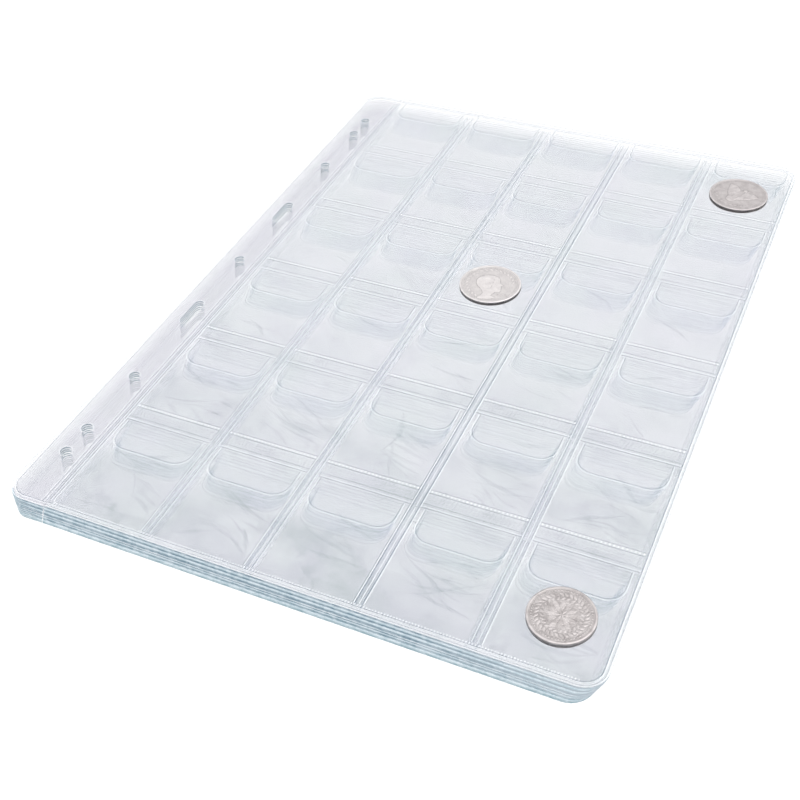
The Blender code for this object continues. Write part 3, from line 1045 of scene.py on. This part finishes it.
def bird_relief(x, y, size):
    """A plain spread-winged bird, with barred wings."""
    px, py = x / size, y / size
    wing = [
        (0.0, 0.20), (0.16, 0.34), (0.42, 0.46), (0.70, 0.40), (0.62, 0.22), (0.50, 0.02),
        (0.36, -0.16), (0.22, -0.28), (0.14, -0.52), (0.0, -0.60),
    ]
    depth = polygon_depth([*wing, *[(-a, b) for a, b in reversed(wing[1:-1])]], px, py)
    relief = dome(depth, 0.10) * 0.7
    bars = 0.5 + 0.5 * np.sin(34 * np.abs(px) + 14 * py)
    relief += np.where((depth > 0.02) & (np.abs(px) > 0.11), 0.35 * bars, 0.0)
    body = np.clip(1 - (px / 0.13) ** 2 - ((py + 0.02) / 0.36) ** 2, 0, 1)
    relief = np.maximum(relief, 1.15 * np.sqrt(body))
    head = np.clip(1 - ((px - 0.02) / 0.085) ** 2 - ((py - 0.40) / 0.10) ** 2, 0, 1)
    return np.maximum(relief, 1.1 * np.sqrt(head))


def flower_relief(x, y, size):
    """An open flower of six petals."""
    px, py = x / size, y / size
    r, a = np.hypot(px, py), np.arctan2(py, px)
    petals = np.clip(np.cos(6 * a) * 0.5 + 0.62 - r * 1.25, 0, 1) ** 0.5
    inner = np.clip(np.cos(6 * a + math.pi) * 0.5 + 0.5 - np.abs(r - 0.42) * 3.2, 0, 1) ** 0.7
    return np.maximum(petals * 0.5, inner * 0.45) + 0.3 * np.clip(1 - (r / 0.1) ** 2, 0, 1)


def coin_height(kind, x, y, radius):
    """Relief of a coin's face: its design, a ring of beads and leaves."""
    r, a = np.hypot(x, y), np.arctan2(y, x)
    height = np.zeros(x.shape)
    if kind == "head":
        height += head_relief(x + 0.2, y + 0.5, radius * 0.92) * 0.17
        height += beads(r, a, radius - 1.75, 74, 0.26) * 0.07
        ring = leaves(r, a, radius - 3.0, 30, 1.0, 0.5, 0.9)
        height = np.maximum(height, ring * 0.10 * (np.abs(np.sin(a / 2 + 0.4)) > 0.35))
    elif kind == "bird":
        height += bird_relief(x, y + 0.4, radius * 0.92) * 0.16
        height += beads(r, a, radius - 1.75, 64, 0.28) * 0.08
        ring = leaves(r, a, radius - 3.1, 26, 0.95, 0.55, -0.8)
        height = np.maximum(height, ring * 0.12 * (y < -radius * 0.42))
    else:
        height += flower_relief(x, y, radius * 0.62) * 0.15
        height += beads(r, a, radius - 1.6, 60, 0.27) * 0.08
        height = np.maximum(height, leaves(r, a, radius - 3.1, 34, 1.15, 0.5, 0.7) * 0.08)
        height = np.maximum(height, leaves(r, a + 0.09, radius - 4.5, 26, 0.9, 0.45, -0.7) * 0.07)
    return height


def make_coin(name, kind, turn, reeds, surface, field=0.12, wear=0.012):
    """A struck coin: rings of relief on both faces, joined by a plain or reeded edge.

    field is how deep the face lies below the rim and wear how uneven it is.
    """
    low, high = box_mm(name)
    cx, cy = (low[:2] + high[:2]) / 2
    radius = (high[0] - low[0]) / 2
    z0, z1 = low[2], high[2]
    rim = radius - 1.0
    field_radii = np.linspace(0.12, rim, FIELD_RINGS)
    radii = [*field_radii, rim + 0.12, rim + 0.3, radius - 0.22, radius - 0.08]
    angle = np.arange(SEGMENTS) * 2 * math.pi / SEGMENTS
    turned = math.radians(turn)
    rings, marks = [], []
    for side in (-1, 1):
        layer, cavity = [], []
        for ring, r in enumerate(radii):
            x, y = r * np.cos(angle), r * np.sin(angle)
            u = x * math.cos(turned) + y * math.sin(turned)
            v = -x * math.sin(turned) + y * math.cos(turned)
            if ring < FIELD_RINGS:
                relief = coin_height(kind, u, v, radius)
                around = sum(coin_height(kind, u + du, v + dv, radius) for du, dv in AROUND) / 4
                spots = (Vector((a * 2.6, b * 2.6, 3.0)) for a, b in zip(x, y))
                grain = np.array([noise.noise(spot) for spot in spots])
                level = -field + relief * 0.7 + wear * grain
                # Low field and hollows darken as painted shade; grain adds random dark speckle
                hollow = 0.20 * np.clip(0.6 - relief / 0.08, 0, 1)
                hollow += 0.55 * np.clip((around - relief) / 0.030, 0, 1)
                hollow += 0.16 * np.clip(grain * 2.0, 0, 1)
            else:
                level = np.full(SEGMENTS, RIM_LEVELS[ring - FIELD_RINGS])
                # A dark line just inside the rim: painted shade
                hollow = np.full(SEGMENTS, 0.45 if ring == FIELD_RINGS else 0.0)
            z = (z1 + level) if side > 0 else (z0 - level)
            layer.append(np.column_stack([cx + x, cy + y, z]))
            cavity.append(hollow)
        rings.append(layer if side < 0 else layer[::-1])
        marks.append(cavity if side < 0 else cavity[::-1])
    groove = 0.5 + 0.5 * np.cos(angle * REEDS)
    reach = radius - 0.02 - (0.09 * groove if reeds else 0.0)
    wall = []
    for t in (0.16, 0.4, 0.6, 0.84):
        level = np.full(SEGMENTS, z0 + (z1 - z0) * t)
        x, y = cx + reach * np.cos(angle), cy + reach * np.sin(angle)
        wall.append(np.column_stack([x, y, level]))
    if not reeds:
        groove = np.full(SEGMENTS, 0.1)
    # The edge is darkened as painted shade, most at the bottom and in the reeds
    shares = (0.90, 0.84, 0.70, 0.40) if reeds else (0.72, 0.66, 0.55, 0.35)
    sides = [share + (1 - share) * groove for share in shares]
    loops = [*rings[0], *wall, *rings[1]]
    cavities = [*marks[0], *sides, *marks[1]]
    points = [[cx, cy, z0 + field], *np.vstack(loops).tolist(), [cx, cy, z1 - field + 0.05]]
    crease = [0.3, *np.concatenate(cavities).tolist(), 0.3]
    faces = []
    for k in range(len(loops) - 1):
        a, b = 1 + k * SEGMENTS, 1 + (k + 1) * SEGMENTS
        for i in range(SEGMENTS):
            j = (i + 1) % SEGMENTS
            faces.append([a + i, a + j, b + j, b + i])
    end = len(points) - 1
    last = 1 + (len(loops) - 1) * SEGMENTS
    for i in range(SEGMENTS):
        j = (i + 1) % SEGMENTS
        faces.append([0, 1 + j, 1 + i])
        faces.append([end, last + i, last + j])
    build = Build()
    build.add(points, faces, 0, crease)
    piece = build.object(f"{name}_struck", [surface], 50)
    settle(piece, name, "coin_metal", name)


nickel = coin_surface("coin_nickel", (0.72, 0.675, 0.67), (0.55, 0.51, 0.505), 0.36)
clad = coin_surface("coin_bright_clad", (0.98, 0.935, 0.925), (0.89, 0.845, 0.84), 0.36)
worn_clad = coin_surface("coin_worn_clad", (0.83, 0.78, 0.775), (0.69, 0.64, 0.635), 0.38)
make_coin("coin_small_foot", "flower", 12, False, nickel, field=0.06, wear=0.035)
make_coin("coin_large_middle", "head", 24, True, clad)
make_coin("coin_large_head", "bird", -30, True, worn_clad)


# ---------------------------------------------------------------- floor, light, camera


def make_floor():
    mesh = bpy.data.meshes.new("floor")
    size = 3.0
    mesh.from_pydata(
        [(-size, -size, 0), (size, -size, 0), (size, size, 0), (-size, size, 0)], [], [(0, 1, 2, 3)]
    )
    floor = bpy.data.objects.new("floor", mesh)
    bpy.context.scene.collection.objects.link(floor)
    paint = bpy.data.materials.new("floor_white")
    paint.use_nodes = True
    shader = paint.node_tree.nodes["Principled BSDF"]
    shader.inputs["Base Color"].default_value = (0.96, 0.96, 0.96, 1.0)
    shader.inputs["Roughness"].default_value = 0.9
    shader.inputs["Specular IOR Level"].default_value = 0.0
    mesh.materials.append(paint)


def make_light(name, place, target, size, power):
    data = bpy.data.lights.new(name, "AREA")
    data.shape = "DISK"
    data.size = size
    data.energy = power
    lamp = bpy.data.objects.new(name, data)
    lamp.location = place
    lamp.rotation_euler = (Vector(target) - Vector(place)).to_track_quat("-Z", "Y").to_euler()
    bpy.context.scene.collection.objects.link(lamp)


def make_world():
    world = bpy.data.worlds.new("studio")
    bpy.context.scene.world = world
    world.use_nodes = True
    tree = world.node_tree
    background = tree.nodes["Background"]
    place = node(tree, "ShaderNodeTexCoord")
    split = node(tree, "ShaderNodeSeparateXYZ")
    tree.links.new(place.outputs["Generated"], split.inputs[0])
    sky = ramp_node(tree, split.outputs["Z"], ((0.0, (0.72, 0.73, 0.75)), (0.75, (1.0, 1.0, 1.0))))
    tree.links.new(sky, background.inputs["Color"])
    background.inputs["Strength"].default_value = 0.92


def make_camera():
    data = bpy.data.cameras.new("camera")
    data.lens = 54.03
    data.sensor_width = 36.0
    data.clip_start, data.clip_end = 0.01, 20.0
    camera = bpy.data.objects.new("camera", data)
    bpy.context.scene.collection.objects.link(camera)
    camera.location = (0.14271, -0.33684, 0.29676)
    camera.rotation_euler = [math.radians(a) for a in (47.672, 2.520, 24.226)]
    bpy.context.scene.camera = camera


make_floor()
make_world()
make_light("key", (0.50, 0.15, 1.25), (0, 0, 0), 1.2, 5.6)
make_light("fill", (-0.7, -0.2, 0.9), (0, 0, 0), 0.9, 2.2)
make_camera()
bpy.context.scene.view_settings.view_transform = "Standard"
bpy.context.scene.cycles.transparent_max_bounces = 128
